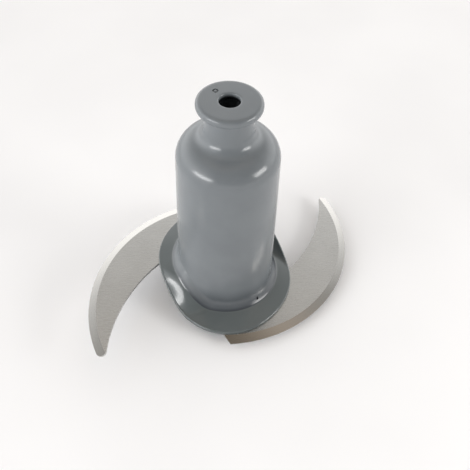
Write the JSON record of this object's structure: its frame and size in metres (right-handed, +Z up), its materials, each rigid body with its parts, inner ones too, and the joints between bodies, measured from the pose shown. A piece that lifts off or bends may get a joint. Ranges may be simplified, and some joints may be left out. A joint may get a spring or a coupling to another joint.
{
  "type": "food processor blade",
  "caption": "Tall grey moulded hub with a holed finger knob and a stepped oval brim that holds swept steel knives half a turn apart.",
  "frame": {"origin": "on the drive axis, in the plane of the hub's foot", "axes": "+Z up the drive axis, towards the knob; the low knife's root lies towards -Y and its tip towards +X and +Y"},
  "size_m": [0.139, 0.1262, 0.1255],
  "materials": {
    "hub_plastic": "smooth satin moulding, mid grey",
    "knife_steel": "satin sheet with a polished ground bevel"
  },
  "bodies": {
    "root": {"hub": "hub_plastic", "low_blade": "knife_steel", "high_blade": "knife_steel"}
  },
  "joints": []
}
